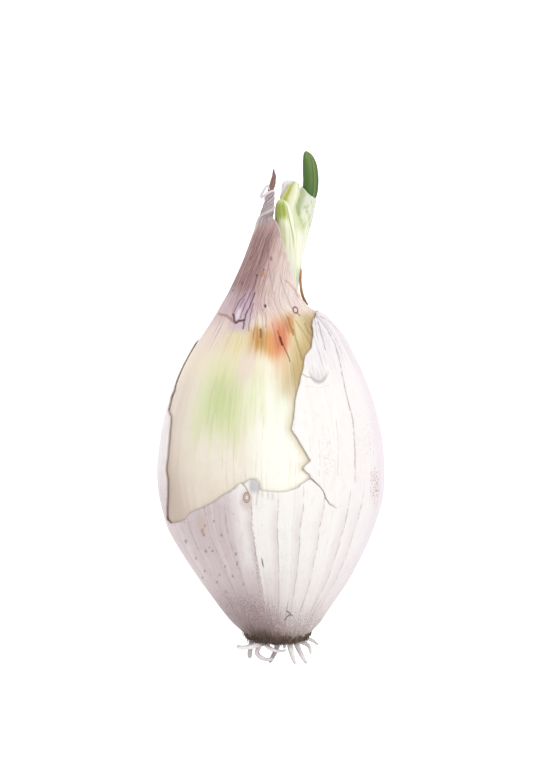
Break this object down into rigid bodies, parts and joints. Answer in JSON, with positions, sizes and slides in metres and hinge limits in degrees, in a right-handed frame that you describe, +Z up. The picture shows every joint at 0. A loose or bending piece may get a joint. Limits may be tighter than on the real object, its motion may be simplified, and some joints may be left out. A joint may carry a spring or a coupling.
{
  "type": "white onion",
  "caption": "Sprouting white onion lying on its side, its papery outer skin torn open over the bulb, with a twisted dry neck, young leaves and short cut roots.",
  "frame": {"origin": "centre of the bounding box's underside, on the surface that the onion lies on", "axes": "+Y along the bulb's axis from the roots to the leaf tip, +Z up, with the torn window in the outer skin facing up"},
  "size_m": [0.0684, 0.154, 0.0643],
  "materials": {
    "dry_outer_skin": "dry papery skin, near white with lilac-grey veins, brown at the base",
    "bulb_scale": "smooth moist scale, cream with green and orange streaks, pinkish lilac at the dried neck",
    "basal_plate": "dry brown fibrous disc",
    "root": "waxy white root with a lilac cast",
    "sprout_leaf": "waxy pale leaf, yellow-green at the tips",
    "green_leaf": "waxy mid-green leaf",
    "membrane": "thin dry membrane, white with a lilac cast",
    "dry_leaf_tip": "dry brown leaf tip"
  },
  "bodies": {
    "root": {"outer_skin": "dry_outer_skin", "bulb": "bulb_scale", "basal_plate": "basal_plate", "root_01": "root", "root_02": "root", "root_03": "root", "root_04": "root", "root_05": "root", "root_06": "root", "root_07": "root", "root_08": "root", "root_09": "root", "root_10": "root", "root_11": "root", "sprout_front": "sprout_leaf", "sprout_middle": "sprout_leaf", "sprout_sheath": "sprout_leaf", "green_leaf": "green_leaf", "sprout_membrane": "membrane", "neck_spike": "dry_leaf_tip", "neck_ribbon": "membrane", "skin_sliver": "dry_leaf_tip"}
  },
  "joints": []
}
